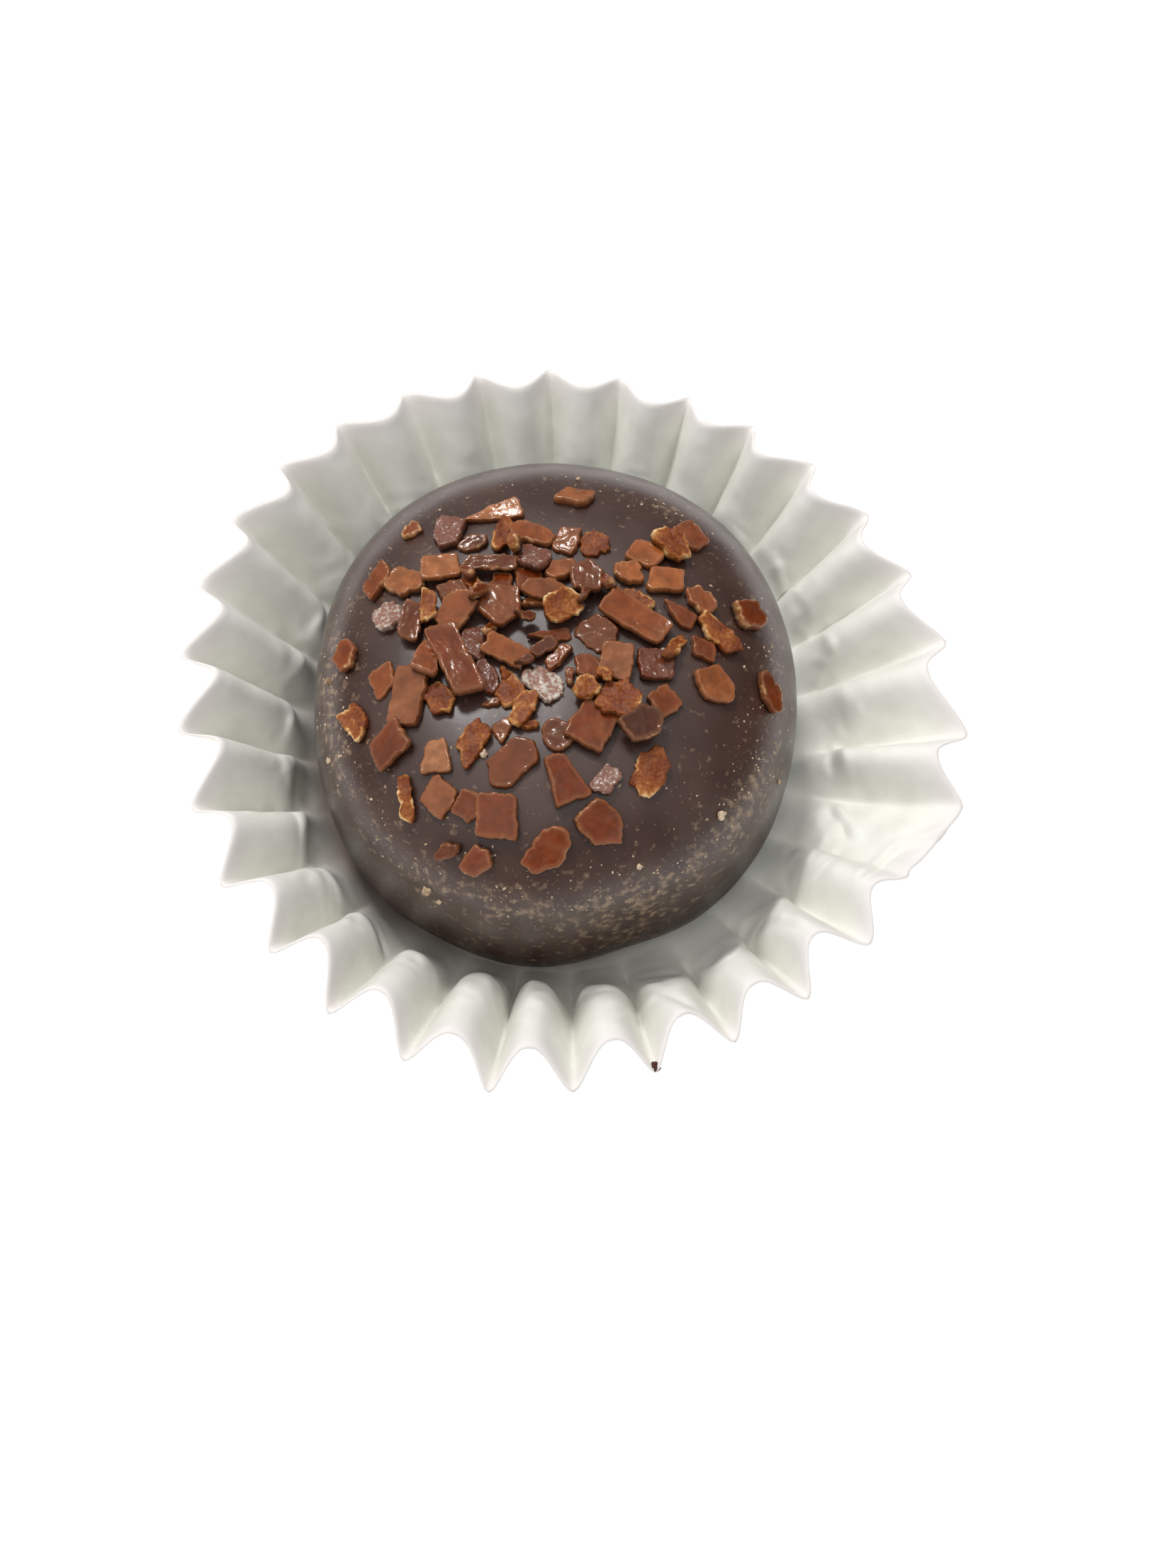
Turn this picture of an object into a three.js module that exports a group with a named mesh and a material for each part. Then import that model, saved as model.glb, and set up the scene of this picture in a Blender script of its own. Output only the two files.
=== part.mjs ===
// A chocolate truffle in its pleated paper case. Millimetres, +Z up.
// The origin is the centre of the case's flat base, on the surface that it stands on.
import * as THREE from 'three';

// ---------------------------------------------------------------- driving dimensions

const TAU = 2 * Math.PI;
const DEGREE = Math.PI / 180;

// the paper case
const PAPER = 0.25;             // thickness of the paper, stiffened a little
const PLEATS = 30;
const BASE_RADIUS = 15.9;       // flat disc under the truffle, wider at the front
const KNUCKLE_RADIUS = 18.8;    // where the steep foot of a flute bends outwards
const KNUCKLE_HEIGHT = 3.9;
const TIP_RADIUS = 25.7;        // sharp end of a crease, at the rim
const TIP_HEIGHT = 6.5;
const FLUTE_DEPTH = 2.5;        // how far a flute stands in from its creases, at the rim
const FLUTE_RISE = 1.7;         // how far a flute stands above its creases, at the rim
const RIM_TILT = { right: -1.4, far: 1.6 };   // the rim leans: low at the right and in front
const FIRST_TIP = 92.3;         // direction of the first crease, in degrees
const FLAT_FLUTE = 9;           // the flute that has been pressed flat

// the truffle
const GAP = 0.3;                // between the truffle and the paper
const TRUFFLE_CENTRE = { x: -0.7, y: -0.7 };
const TRUFFLE_RADIUS = 16.4;
const TRUFFLE_FOOT = 15.7;      // radius of its flat underside
const BELLY_HEIGHT = 4.4;       // where it is widest, above its underside
const TRUFFLE_HEIGHT = 15.7;
const DOME_POWER = 3.3;         // 2 would be an ellipse, and more squares the shoulder

// mesh fineness
const COLUMNS_PER_PLEAT = 6;
const TRUFFLE_COLUMNS = 60;
const DOME_ROWS = 11;

// ---------------------------------------------------------------- small helpers

const lerp = (a, b, t) => a + (b - a) * t;

// distance between two directions in degrees, the short way round
function turn(a, b) {
  return ((a - b + 540) % 360) - 180;
}

// a smooth hump of height 1 at a direction, spread over some degrees
function hump(angle, centre, spread) {
  return Math.exp(-((turn(angle / DEGREE, centre) / spread) ** 2));
}

// Makes one closed body from rings of points that run from one pole on the axis to the
// other. The body is solid, so the first and last entries are single points.
function bodyFromRings(rings, columns) {
  const positions = [];
  const starts = rings.map((ring) => {
    const start = positions.length / 3;
    ring.forEach((point) => positions.push(point.x, point.y, point.z));
    return start;
  });
  const index = [];
  for (let row = 0; row + 1 < rings.length; row += 1) {
    for (let column = 0; column < columns; column += 1) {
      const next = (column + 1) % columns;
      const low = rings[row].length === 1 ? [0, 0] : [column, next];
      const high = rings[row + 1].length === 1 ? [0, 0] : [column, next];
      const a = starts[row] + low[0];
      const b = starts[row] + low[1];
      const c = starts[row + 1] + high[1];
      const d = starts[row + 1] + high[0];
      if (a !== b) index.push(a, b, c);
      if (c !== d) index.push(a, c, d);
    }
  }
  const geometry = new THREE.BufferGeometry();
  geometry.setAttribute('position', new THREE.Float32BufferAttribute(positions, 3));
  geometry.setIndex(index);
  geometry.computeVertexNormals();
  return geometry;
}

// ---------------------------------------------------------------- the paper case

// The sheet is described by two lines that run from the base to the rim: the crease line,
// which ends in a tip, and the flute line halfway between two creases.

// how far a tip reaches out in a direction: the case is pressed out at the right and in
// front, and drawn in behind on the left
function tipRadius(angle) {
  const pushed = 0.8 * hump(angle, -14, 12) + 0.75 * hump(angle, -98, 13) - 0.4 * hump(angle, 24, 14);
  const drawnIn = 0.75 * hump(angle, 122, 26) + 0.3 * hump(angle, -136, 8);
  return TIP_RADIUS + 0.35 * Math.cos(2 * angle + 0.7) + 0.6 * Math.cos(3 * angle - 0.34)
    + pushed - drawnIn;
}

// where the flat base ends, close round the foot of the truffle
function baseRadius(angle) {
  return BASE_RADIUS - 0.5 * Math.cos(angle) + 0.7 * hump(angle, -140, 45) + 1.1 * hump(angle, -88, 34);
}

// where the flutes bend over: furthest out at the front on the right
function knuckleRadius(angle) {
  return KNUCKLE_RADIUS + 0.75 * hump(angle, -128, 24) + 1.4 * hump(angle, -62, 20)
    + 0.3 * hump(angle, -5, 30) - 0.25 * hump(angle, 176, 34);
}

function tipHeight(angle) {
  return TIP_HEIGHT + RIM_TILT.right * Math.cos(angle) + RIM_TILT.far * Math.sin(angle);
}

// A point on the crease line. climb is 0 at the edge of the base and 1 at the rim.
function creasePoint(angle, climb) {
  const sag = 0.9 * Math.sin(Math.PI * climb) * (1 - 0.4 * climb);
  return {
    r: lerp(baseRadius(angle), tipRadius(angle), climb),
    z: tipHeight(angle) * climb - sag,
  };
}

// A point on the flute line, which stands steeply up to the knuckle and then flares.
function flutePoint(angle, climb) {
  const knuckle = 0.36;
  const bend = knuckleRadius(angle);
  const rim = {
    r: tipRadius(angle) - FLUTE_DEPTH,
    z: tipHeight(angle) + FLUTE_RISE,
  };
  if (climb < knuckle) {
    const t = climb / knuckle;
    const hollow = 0.2 + 0.3 * (1 - hump(angle, 0, 45));
    return {
      r: lerp(baseRadius(angle) - 0.2, bend, t * (1 + hollow - hollow * t)),
      z: KNUCKLE_HEIGHT * t * (1 - hollow + hollow * t),
    };
  }
  const t = (climb - knuckle) / (1 - knuckle);
  return {
    r: lerp(bend, rim.r, t),
    z: lerp(KNUCKLE_HEIGHT, rim.z, t),
  };
}

// The direction of a crease. The case is handled food packing, so the spacing drifts.
function creaseAngle(pleat) {
  const even = (FIRST_TIP - (pleat * 360) / PLEATS) * DEGREE;
  const drift = 1.0 * Math.cos(even) + 0.75 * Math.sin(even) + 0.7 * Math.sin(2 * even)
    + 1.1 * hump(even, 13, 9) - 1.5 * hump(even, -4, 6) - 0.5 * hump(even, -72, 14)
    + 0.6 * hump(even, -103, 9) - 0.6 * hump(even, 188, 18)
    + 0.8 * hump(even, 126, 18) - 0.45 * hump(even, 65, 26);
  return even + drift * DEGREE;
}

// rounds off the sharp start of a ramp from 0 to 1
function soften(t, radius) {
  return (Math.hypot(t, radius) - radius) / (Math.hypot(1, radius) - radius);
}

// The cross-section of a flute: 0 in its creases, 1 on its back. The creases are crisp at
// the foot and open out to blunt tips.
function fluteArch(across, climb, angle) {
  const shifted = across + 0.09 * Math.cos(angle) * Math.sin(Math.PI * across);
  const offBack = 1 - soften(1 - Math.abs(2 * shifted - 1), lerp(0.08, 0.24, climb ** 3));
  const sideways = Math.abs(Math.cos(angle)) ** 3;
  const blunt = lerp(1.9, 1.55, sideways) + 1.1 * (1 - climb) ** 2 * (1 - sideways);
  return 1 - soften(offBack, 0.12) ** blunt;
}

// A point in the middle of the paper. column counts round the case, climb runs up it.
function paperPoint(column, climb) {
  const pleat = Math.floor(column / COLUMNS_PER_PLEAT);
  const across = (column % COLUMNS_PER_PLEAT) / COLUMNS_PER_PLEAT;
  const angle = lerp(creaseAngle(pleat), creaseAngle(pleat + 1), across);
  let arch = fluteArch(across, climb, angle);
  if (pleat === FLAT_FLUTE) {
    arch *= lerp(0.55, 0.12, Math.min(1, climb * 1.6));
    arch += (1 - arch) * 0.4 * climb * across ** 2;
  }
  if (pleat === FLAT_FLUTE + 1) {
    const opened = 0.4 + 0.6 * Math.sin((Math.PI / 2) * Math.min(1, across / 0.75));
    arch *= lerp(1, opened, climb);
    arch += (1 - arch) * 0.4 * climb * (1 - across) ** 4;
  }
  const crease = creasePoint(angle, climb);
  const flute = flutePoint(angle, climb);
  return { angle, r: lerp(crease.r, flute.r, arch), z: lerp(crease.z, flute.z, arch) };
}

// The two faces of the paper lie half a thickness to each side of its middle, measured
// square to a plain cone, so that the faces never cross in a sharp crease.
function paperFacePoint(column, climb, side) {
  const { angle, r, z } = paperPoint(column, climb);
  const lean = lerp(0, 50 * DEGREE, Math.min(1, climb * 4));
  const half = (side * PAPER) / 2;
  const out = r - half * Math.sin(lean);
  const up = Math.max(z, 0) + PAPER / 2 + half * Math.cos(lean);
  return new THREE.Vector3(out * Math.cos(angle), out * Math.sin(angle), up);
}

function makePaperCase() {
  const columns = PLEATS * COLUMNS_PER_PLEAT;
  const climbs = [0, 0.1, 0.22, 0.36, 0.55, 0.78, 1];
  const face = (side) => climbs.map((climb) => {
    const ring = [];
    // the columns are counted clockwise, so they are laid down backwards
    for (let column = columns; column > 0; column -= 1) {
      ring.push(paperFacePoint(column % columns, climb, side));
    }
    return ring;
  });
  const pole = (height) => [new THREE.Vector3(0, 0, height)];
  const rings = [pole(0), ...face(-1), ...face(1).reverse(), pole(PAPER)];
  const material = new THREE.MeshStandardMaterial({ color: 0xe4e3da, roughness: 0.75, metalness: 0 });
  const mesh = new THREE.Mesh(bodyFromRings(rings, columns), material);
  mesh.name = 'paper_case';
  return mesh;
}

// ---------------------------------------------------------------- the truffle

// A moulded piece is never quite round: it is longer from front to back, a little square,
// and flattened at the front right.
function truffleOutline(angle) {
  return 1 - 0.022 * Math.cos(2 * angle) + 0.006 * Math.cos(3 * angle) - 0.012 * Math.cos(4 * angle)
    + 0.02 * hump(angle, -96, 14) - 0.022 * hump(angle, -72, 12);
}

// the profile from the flat underside to the top, as radius and height
function truffleProfile() {
  const points = [{ r: TRUFFLE_FOOT - 1.2, z: 0 }, { r: TRUFFLE_FOOT - 0.3, z: 0.35 }];
  for (const t of [0.35, 0.7]) {
    points.push({
      r: lerp(TRUFFLE_FOOT, TRUFFLE_RADIUS, Math.sin((t * Math.PI) / 2)),
      z: BELLY_HEIGHT * t,
    });
  }
  for (let row = 0; row < DOME_ROWS; row += 1) {
    const t = ((row / DOME_ROWS) * Math.PI) / 2;
    points.push({
      r: TRUFFLE_RADIUS * Math.cos(t) ** (2 / DOME_POWER),
      z: BELLY_HEIGHT + (TRUFFLE_HEIGHT - BELLY_HEIGHT) * Math.sin(t) ** (2 / DOME_POWER),
    });
  }
  return points;
}

function makeTruffle() {
  const rings = truffleProfile().map(({ r, z }) => {
    const ring = [];
    for (let column = 0; column < TRUFFLE_COLUMNS; column += 1) {
      const angle = (column / TRUFFLE_COLUMNS) * TAU;
      const out = r * truffleOutline(angle);
      ring.push(new THREE.Vector3(out * Math.cos(angle), out * Math.sin(angle), z));
    }
    return ring;
  });
  const underside = [new THREE.Vector3(0, 0, 0)];
  const top = [new THREE.Vector3(0, 0, TRUFFLE_HEIGHT)];
  const material = new THREE.MeshStandardMaterial({ color: 0x4a3127, roughness: 0.45, metalness: 0 });
  const mesh = new THREE.Mesh(bodyFromRings([underside, ...rings, top], TRUFFLE_COLUMNS), material);
  mesh.name = 'truffle';
  mesh.position.set(TRUFFLE_CENTRE.x, TRUFFLE_CENTRE.y, PAPER + GAP);
  return mesh;
}

// ---------------------------------------------------------------- the whole piece

const chocolateTruffle = new THREE.Group();
chocolateTruffle.add(makePaperCase());
chocolateTruffle.add(makeTruffle());

export default chocolateTruffle;
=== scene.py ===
import math
import random

import bmesh
import bpy
from mathutils import Matrix, Vector, noise
from mathutils.bvhtree import BVHTree


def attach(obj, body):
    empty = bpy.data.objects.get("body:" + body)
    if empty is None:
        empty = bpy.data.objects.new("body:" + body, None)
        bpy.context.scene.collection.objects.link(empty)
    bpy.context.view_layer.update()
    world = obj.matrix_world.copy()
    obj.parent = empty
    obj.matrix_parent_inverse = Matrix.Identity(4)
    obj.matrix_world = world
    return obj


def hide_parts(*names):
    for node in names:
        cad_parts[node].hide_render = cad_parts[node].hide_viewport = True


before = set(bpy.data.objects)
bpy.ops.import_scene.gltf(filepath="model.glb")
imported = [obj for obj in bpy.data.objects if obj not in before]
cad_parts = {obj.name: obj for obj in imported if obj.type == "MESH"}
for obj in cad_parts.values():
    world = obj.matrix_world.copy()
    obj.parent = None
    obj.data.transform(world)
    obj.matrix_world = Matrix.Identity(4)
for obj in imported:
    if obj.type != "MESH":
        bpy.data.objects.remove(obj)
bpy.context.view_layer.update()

MM = 0.001


# ---------------------------------------------------------------- paper case
# The case is one disc of thin white greaseproof paper. A fluted die presses its edge up
# into thirty round flutes with a narrow crease between each pair. The truffle has spread
# the wall, so each flute stands steeply, bends over a knuckle and flares out to the rim.

pleats = 30
columns_per_pleat = 18
base_rows = 8
wall_rows = 58
flat_row_step = MM
paper_thickness = 0.12 * MM
base_radius = 15.9 * MM
knuckle_radius = 18.8 * MM
knuckle_height = 3.9 * MM
knuckle_climb = 0.37
tip_radius = 25.7 * MM
tip_height = 6.5 * MM
flute_depth = 2.5 * MM
flute_rise = 1.7 * MM
crease_sag = 0.9 * MM
lip_curl = 0.12 * MM
lip_dip = 0.1 * MM
first_tip = 92.3  # degrees
flattened_flute = 9


def hump(angle, centre, spread):
    """A smooth hump of height 1 at a direction in degrees, spread over some degrees."""
    off = (math.degrees(angle) - centre + 540) % 360 - 180
    return math.exp(-((off / spread) ** 2))


def lerp(a, b, t):
    """The value that lies a share t of the way from a to b."""
    return a + (b - a) * t


def soften(t, radius):
    """Round off the sharp start of a ramp from 0 to 1."""
    return (math.hypot(t, radius) - radius) / (math.hypot(1, radius) - radius)


def crease_direction(pleat):
    """The way a crease points. The case is handled food packing, so the spacing drifts."""
    even = math.radians(first_tip - pleat * 360 / pleats)
    drift = 1.0 * math.cos(even) + 0.75 * math.sin(even) + 0.7 * math.sin(2 * even)
    drift += 1.1 * hump(even, 13, 9) - 1.5 * hump(even, -4, 6) - 0.5 * hump(even, -72, 14)
    drift += 0.6 * hump(even, -103, 9) - 0.6 * hump(even, 188, 18)
    drift += 0.8 * hump(even, 126, 18) - 0.45 * hump(even, 65, 26)
    return even + math.radians(drift)


def tip_reach(angle):
    """How far the tips reach out in a direction."""
    wave = 0.35 * math.cos(2 * angle + 0.7) + 0.6 * math.cos(3 * angle - 0.34)
    pushed = 0.8 * hump(angle, -14, 12) + 0.75 * hump(angle, -98, 13) - 0.4 * hump(angle, 24, 14)
    drawn_in = 0.75 * hump(angle, 122, 26) + 0.3 * hump(angle, -136, 8)
    return tip_radius + (wave + pushed - drawn_in) * MM


def tip_rise(angle):
    """How high the tips stand: the case is flattest at the front on the right."""
    return tip_height + (1.6 * math.sin(angle) - 1.4 * math.cos(angle)) * MM


def base_reach(angle):
    """Where the flat base ends and the wall turns up, close round the foot of the truffle."""
    wider = 0.7 * hump(angle, -140, 45) + 1.1 * hump(angle, -88, 34)
    return base_radius + (wider - 0.5 * math.cos(angle)) * MM


def knuckle_reach(angle):
    """Where the flutes bend over: furthest out at the front on the right."""
    out = 0.75 * hump(angle, -128, 24) + 1.4 * hump(angle, -62, 20)
    out += 0.3 * hump(angle, -5, 30) - 0.25 * hump(angle, 176, 34)
    return knuckle_radius + out * MM


def crease_line(angle, climb):
    """The foot of the fold between two flutes, from the base (0) to the tip (1)."""
    sag = crease_sag * math.sin(math.pi * climb) * (1 - 0.4 * climb)
    r = lerp(base_reach(angle), tip_reach(angle), climb)
    return r, tip_rise(angle) * climb - sag


def flute_line(angle, climb, knuckle, deeper):
    """The back of a flute: a round foot, a steep wall to the knuckle, then the flare."""
    rim_r = tip_reach(angle) - flute_depth - deeper
    rim_z = tip_rise(angle) + flute_rise + 0.5 * deeper
    bend_r = knuckle_reach(angle)
    if climb < knuckle:
        t = climb / knuckle
        hollow = 0.2 + 0.3 * (1 - hump(angle, 0, 45))
        r = lerp(base_reach(angle) - 0.2 * MM, bend_r, t * (1 + hollow - hollow * t))
        return r, knuckle_height * t * (1 - hollow + hollow * t)
    t = (climb - knuckle) / (1 - knuckle)
    flare = 0.3 * MM * math.sin(math.pi * t)
    return lerp(bend_r, rim_r, t) + 0.3 * flare, lerp(knuckle_height, rim_z, t) + flare


paper_rng = random.Random(30)


def for_each_flute(low, high):
    """A random value for each flute: no two of them were pressed quite alike."""
    return [paper_rng.uniform(low, high) for pleat in range(pleats)]


creases = [crease_direction(pleat) for pleat in range(pleats)]
flute_knuckle = [knuckle_climb + off for off in for_each_flute(-0.045, 0.045)]
flute_deeper = [off * MM for off in for_each_flute(-0.3, 0.3)]
pinch_depth = [off ** 2 * MM for off in for_each_flute(-0.1, 0.36)]
pinch_slant = for_each_flute(-0.12, 0.12)
skew_above = for_each_flute(-0.07, 0.07)
skew_below = for_each_flute(-0.16, 0.16)


def flute_arch(across, climb, angle, skew):
    """The cross-section of a flute: 0 in its creases, 1 on its back. The wall is pushed back
    a little at the left and right, so the backs of the flutes lean away from the front.
    The creases are crisp at the foot and open out to blunt tips."""
    lean = skew + 0.09 * math.cos(angle)
    shifted = across + lean * math.sin(math.pi * across)
    off_back = abs(2 * shifted - 1)
    off_back = 1 - soften(1 - off_back, lerp(0.08, 0.24, climb ** 3))
    sideways = abs(math.cos(angle)) ** 3
    blunt = lerp(1.9, 1.55, sideways) + 1.1 * (1 - climb) ** 2 * (1 - sideways)
    return 1 - soften(off_back, 0.12) ** blunt


def flatten(arch, pleat, across, climb):
    """One flute has been pushed almost flat, and the one after it has given way beside it."""
    if pleat == flattened_flute:
        arch *= lerp(0.55, 0.12, min(1, climb * 1.6))
        arch += (1 - arch) * 0.4 * climb * across ** 2
    if pleat == flattened_flute + 1:
        arch *= lerp(1, 0.4 + 0.6 * math.sin(math.pi / 2 * min(1, across / 0.75)), climb)
        arch += (1 - arch) * 0.4 * climb * (1 - across) ** 4
    return arch


def painted_gap_shade(angle, climb):
    """How much painted shade darkens the foot of the wall, in the deep gap beside the truffle."""
    amount = 0.85 * hump(angle, -138, 42) + 0.3 * hump(angle, -82, 22) + 0.5 * hump(angle, 172, 36)
    amount += 0.2 * hump(angle, 110, 50)
    return min(0.9, amount) * math.exp(-((climb / 0.25) ** 2))


def knuckle_pinch(climb, across, knuckle, depth, slant):
    """The small ridge and dent where a bent flute creases across its back."""
    off = climb - knuckle - 0.03 - slant * (across - 0.5)
    ridge = math.exp(-((off / 0.022) ** 2))
    dent = math.exp(-(((off - 0.05) / 0.03) ** 2))
    return depth * (0.7 * ridge - dent) * math.sin(math.pi * across) ** 0.5


# start x, y, end x, y and height, in mm: creases left where the case was pinched
folds = (
    (18.6, -1.3, 18.7, -3.6, 0.3),
    (18.4, -5.8, 19.4, -8.2, 0.32),
    (19.0, -12.1, 21.5, -9.7, 0.3),
    (21.5, -9.7, 25.4, -8.7, 0.22),
    (16.2, -11.2, 17.3, -10.2, 0.25),
    (13.2, -14.2, 15.4, -15.6, 0.25),
    (-20.5, -8.2, -20.1, -6.7, 0.15),
    (-17.1, -12.8, -16.9, -10.5, 0.15),
    (-13.9, -15.4, -14.1, -14.1, 0.2),
    (-18.9, 0.3, -18.2, -0.9, 0.13),
    (-18.9, -3.1, -18.3, -4.8, 0.13),
    (3.8, -21.2, 5.4, -20.1, 0.3),
    (5.6, -19.4, 7.9, -21.1, -0.3),
    (17.5, 3.6, 18.6, 5.4, 0.25),
    (14.6, 12.3, 15.6, 10.6, 0.22),
)
fold_width = 0.3 * MM
fold_fades_by = 2 * MM


def pinched(point):
    """How far the pinched creases lift the sheet at a point: a sharp ridge, then a dent."""
    lift = 0
    for from_x, from_y, to_x, to_y, height in folds:
        start = Vector((from_x, from_y)) * MM
        along = Vector((to_x, to_y)) * MM - start
        length = along.length
        along /= length
        off = point.xy - start
        if off.length > length + fold_fades_by:
            continue
        share = off.dot(along) / length
        ends = max(0, abs(share - 0.5) - 0.35) / 0.25
        side = (off.x * along.y - off.y * along.x) / fold_width
        ridge = math.exp(-(side ** 2)) - 0.6 * math.exp(-((side - 1.7) ** 2))
        lift += height * MM * ridge * math.exp(-(ends ** 2))
    return lift


def crumple(point, angle, near_knuckle):
    """How far the sheet strays from the die: in slow waves, and in sharp creases at a bend."""
    waves = 0.09 * noise.noise(point / (2.4 * MM))
    sharp = 1 - 2.2 * abs(noise.noise(point / (1.7 * MM)))
    return (waves + (0.03 + (0.15 + 0.13 * hump(angle, -75, 55)) * near_knuckle) * sharp) * MM


def press(turn, climb):
    """Where the die puts a point of the sheet: turn counts pleats round, climb runs up the wall."""
    pleat = int(turn) % pleats
    after = (pleat + 1) % pleats
    across = turn - int(turn)
    end = creases[after] - (2 * math.pi if after == 0 else 0)
    angle = lerp(creases[pleat], end, across)
    knuckle = flute_knuckle[pleat]
    over = 0.5 + 0.5 * math.tanh((climb - knuckle) / 0.035)
    arch = flute_arch(across, climb, angle, lerp(skew_below[pleat], skew_above[pleat], over))
    arch = flatten(arch, pleat, across, climb)
    crease_r, crease_z = crease_line(angle, climb)
    flute_r, flute_z = flute_line(angle, climb, knuckle, flute_deeper[pleat])
    lip = max(0, climb - 0.965) / 0.035
    r = lerp(crease_r, flute_r, arch) + lip_curl * lip ** 2
    z = lerp(crease_z, flute_z, arch) - lip_dip * lip ** 2
    z += knuckle_pinch(climb, across, knuckle, pinch_depth[pleat], pinch_slant[pleat])
    point = Vector((r * math.cos(angle), r * math.sin(angle), max(z, 0)))
    near_knuckle = math.exp(-(((climb - knuckle) / 0.16) ** 2))
    point.z += crumple(point, angle, near_knuckle) * min(1, climb * 5) + pinched(point)
    return point


case_mesh = bmesh.new()
previous = case_mesh.verts.new((0, 0, 0))
for row in range(1, base_rows + wall_rows + 1):
    here = case_mesh.verts.new((row * flat_row_step, 0, 0))
    case_mesh.edges.new((previous, here))
    previous = here
bmesh.ops.spin(
    case_mesh,
    geom=case_mesh.verts[:] + case_mesh.edges[:],
    cent=(0, 0, 0),
    axis=(0, 0, -1),
    angle=2 * math.pi,
    steps=pleats * columns_per_pleat,
    use_merge=True,
)
bmesh.ops.remove_doubles(case_mesh, verts=case_mesh.verts, dist=0.001 * MM)
climb_layer = case_mesh.verts.layers.float.new("climb")
gap_shade_layer = case_mesh.verts.layers.float.new("gap_shade")
for vert in case_mesh.verts:
    row = round(vert.co.xy.length / flat_row_step)
    turn = (-math.atan2(vert.co.y, vert.co.x) / (2 * math.pi)) % 1 * pleats
    turn = round(turn * columns_per_pleat) / columns_per_pleat % pleats
    climb = max(0, row - base_rows) / wall_rows
    vert.co = press(turn, climb) * min(1, row / base_rows)
    vert[climb_layer] = climb
    vert[gap_shade_layer] = painted_gap_shade(math.atan2(vert.co.y, vert.co.x), climb)
bmesh.ops.recalc_face_normals(case_mesh, faces=case_mesh.faces)
if case_mesh.faces[0].normal.z < 0:
    bmesh.ops.reverse_faces(case_mesh, faces=case_mesh.faces)
case_data = bpy.data.meshes.new("paper_case_fluted")
case_mesh.to_mesh(case_data)
case_mesh.free()
case_data.shade_smooth()
paper_case = bpy.data.objects.new("paper_case_fluted", case_data)
bpy.context.scene.collection.objects.link(paper_case)
sheet = paper_case.modifiers.new("sheet", "SOLIDIFY")
sheet.thickness = paper_thickness
sheet.offset = 1


def new_finish(name, roughness, gloss):
    """A new material of an even roughness and gloss, with its node tree and its shader."""
    material = bpy.data.materials.new(name)
    material.use_nodes = True
    shader = material.node_tree.nodes["Principled BSDF"]
    shader.inputs["Roughness"].default_value = roughness
    shader.inputs["Specular IOR Level"].default_value = gloss
    return material, material.node_tree, shader


def attribute(tree, name):
    """A value that is kept at a mesh's points."""
    node = tree.nodes.new("ShaderNodeAttribute")
    node.attribute_name = name
    return node.outputs["Fac"]


def fine_noise(tree, fineness, detail):
    """A noise that is fixed to the piece."""
    place = tree.nodes.new("ShaderNodeTexCoord")
    node = tree.nodes.new("ShaderNodeTexNoise")
    node.inputs["Scale"].default_value = fineness
    node.inputs["Detail"].default_value = detail
    tree.links.new(place.outputs["Object"], node.inputs["Vector"])
    return node.outputs["Fac"]


def stretch(tree, value, low, high, new_low=0.0, new_high=1.0):
    """Map a value from one range onto another, and hold it there."""
    node = tree.nodes.new("ShaderNodeMapRange")
    node.inputs["From Min"].default_value = low
    node.inputs["From Max"].default_value = high
    node.inputs["To Min"].default_value = new_low
    node.inputs["To Max"].default_value = new_high
    tree.links.new(value, node.inputs["Value"])
    return node.outputs["Result"]


def colour_ramp(tree, value, *stops):
    """A ramp of colours at stated positions."""
    node = tree.nodes.new("ShaderNodeValToRGB")
    ramp = node.color_ramp
    while len(ramp.elements) < len(stops):
        ramp.elements.new(0.5)
    for element, (position, colour) in zip(ramp.elements, stops):
        element.position = position
        element.color = colour
    tree.links.new(value, node.inputs["Fac"])
    return node.outputs["Color"]


def blend_colour(tree, share, first, second):
    """A mix of two colours, each of them a colour or another node's output."""
    node = tree.nodes.new("ShaderNodeMix")
    node.data_type = "RGBA"
    tree.links.new(share, node.inputs["Factor"])
    for socket, colour in (("A", first), ("B", second)):
        if isinstance(colour, tuple):
            node.inputs[socket].default_value = colour
        else:
            tree.links.new(colour, node.inputs[socket])
    return node.outputs["Result"]


def new_effect(name, inputs, outputs):
    """A node group for an effect that more than one material uses, with its sockets."""
    group = bpy.data.node_groups.new(name, "ShaderNodeTree")
    for socket, kind in inputs:
        group.interface.new_socket(name=socket, in_out="INPUT", socket_type="NodeSocket" + kind)
    for socket, kind in outputs:
        group.interface.new_socket(name=socket, in_out="OUTPUT", socket_type="NodeSocket" + kind)
    given = group.nodes.new("NodeGroupInput").outputs
    result = group.nodes.new("NodeGroupOutput").inputs
    return group, given, result


def use_effect(tree, group, **values):
    """Place an effect in a material with the material's own values."""
    node = tree.nodes.new("ShaderNodeGroup")
    node.node_tree = group
    for name, value in values.items():
        node.inputs[name].default_value = value
    return node


fine_grain, given, result = new_effect(
    "fine_grain",
    (("Fineness", "Float"), ("Detail", "Float"), ("Strength", "Float"), ("Depth", "Float")),
    (("Grain", "Float"), ("Normal", "Vector")),
)
place = fine_grain.nodes.new("ShaderNodeTexCoord")
grain = fine_grain.nodes.new("ShaderNodeTexNoise")
tooth = fine_grain.nodes.new("ShaderNodeBump")
fine_grain.links.new(place.outputs["Object"], grain.inputs["Vector"])
fine_grain.links.new(given["Fineness"], grain.inputs["Scale"])
fine_grain.links.new(given["Detail"], grain.inputs["Detail"])
fine_grain.links.new(given["Strength"], tooth.inputs["Strength"])
fine_grain.links.new(given["Depth"], tooth.inputs["Distance"])
fine_grain.links.new(grain.outputs["Fac"], tooth.inputs["Height"])
fine_grain.links.new(grain.outputs["Fac"], result["Grain"])
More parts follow.
